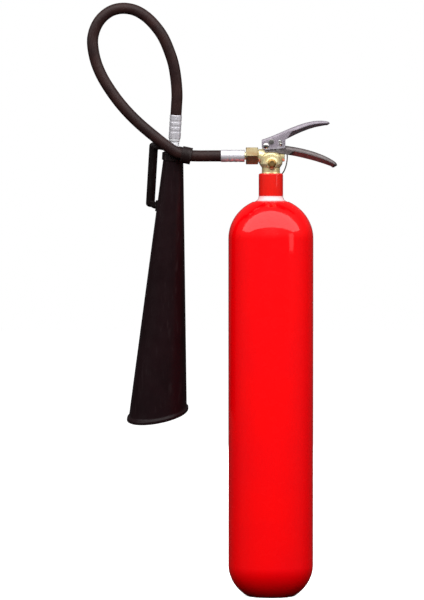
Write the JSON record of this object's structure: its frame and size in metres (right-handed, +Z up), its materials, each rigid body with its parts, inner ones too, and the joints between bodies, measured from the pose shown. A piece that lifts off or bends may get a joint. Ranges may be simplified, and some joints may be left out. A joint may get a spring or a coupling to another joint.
{
  "type": "fire extinguisher",
  "caption": "Carbon dioxide fire extinguisher: red steel cylinder, brass squeeze-lever valve, looped hose and black discharge horn with a grip.",
  "frame": {"origin": "centre of the ring that the cylinder stands on, on the cylinder's axis", "axes": "+Z up along the cylinder, +X the way the levers point, -Y the front, where the relief plug is"},
  "size_m": [0.3997, 0.1839, 0.9497],
  "materials": {
    "body_paint": "smooth gloss enamel",
    "valve_brass": "machined and forged brass",
    "relief_brass": "darker, aged brass",
    "union_plate": "machined brass, darkened by handling",
    "copper": "soft copper",
    "aluminium_tube": "drawn tube",
    "spring_steel": "spring wire and foil",
    "bright_steel": "bright plated steel",
    "ring_wire": "plated wire",
    "ferrule_plate": "bright zinc plate",
    "nipple_plate": "bright zinc plate",
    "handle_paint": "semi-gloss dark enamel",
    "lever_paint": "semi-gloss dark grey enamel",
    "seal_rubber": "moulded seal",
    "hose_rubber": "smooth extruded cover",
    "clip_rubber": "moulded rubber",
    "ptfe": "turned seal plastic",
    "horn_plastic": "fine satin moulding",
    "grip_plastic": "moulded plastic"
  },
  "bodies": {
    "cylinder": {"cylinder_shell": "body_paint", "neck_collar": "body_paint", "neck_seal": "seal_rubber", "valve_body": "valve_brass", "dip_tube_adapter": "valve_brass", "dip_tube": "aluminium_tube", "valve_spring": "spring_steel", "gland_nut": "valve_brass", "stem_o_ring": "seal_rubber", "relief_plug": "relief_brass", "burst_disc": "spring_steel", "relief_washer": "copper", "carry_handle": "handle_paint", "handle_rivet": "bright_steel", "pivot_rivet": "bright_steel", "union_nut": "union_plate", "union_washer": "ptfe"},
    "lever": {"squeeze_lever": "lever_paint", "press_pin": "bright_steel"},
    "stem": {"valve_stem": "bright_steel", "seat_pad": "ptfe"},
    "pin": {"safety_pin": "bright_steel"},
    "ring": {"pull_ring": "ring_wire"},
    "hose_and_horn": {"valve_nipple": "valve_brass", "valve_ferrule": "ferrule_plate", "hose": "hose_rubber", "horn_ferrule": "ferrule_plate", "horn_nipple": "nipple_plate", "discharge_nozzle": "valve_brass", "horn": "horn_plastic", "hose_clip": "clip_rubber", "horn_grip": "grip_plastic", "grip_screws": "bright_steel"}
  },
  "joints": [
    {"name": "lever_squeeze", "type": "hinge", "parent": "cylinder", "child": "lever", "pos_m": [-0.008, 0, 0.72105], "axis": [0, 1, 0], "range_deg": [0, 12], "stiffness_Nm_per_rad": 3, "springref_deg": -8.59},
    {"name": "stem_press", "type": "slide", "parent": "cylinder", "child": "stem", "axis": [0, 0, 1], "range_m": [-0.0025, 0], "deforming": ["valve_spring"]},
    {"name": "pin_pull", "type": "slide", "parent": "cylinder", "child": "pin", "axis": [0, 1, 0], "range_m": [0, 0.036]},
    {"name": "ring_swing", "type": "hinge", "parent": "pin", "child": "ring", "pos_m": [0.0155, 0.0235, 0.72355], "axis": [1, 0, 0], "range_deg": [0, 100]},
    {"name": "hose_swivel", "type": "hinge", "parent": "cylinder", "child": "hose_and_horn", "pos_m": [-0.038, 0, 0.70505], "axis": [1, 0, 0], "range_deg": [-90, 90]}
  ],
  "couplings": [
    {"joint": "stem_press", "follows": "lever_squeeze", "m_per_rad": -0.0098}
  ]
}
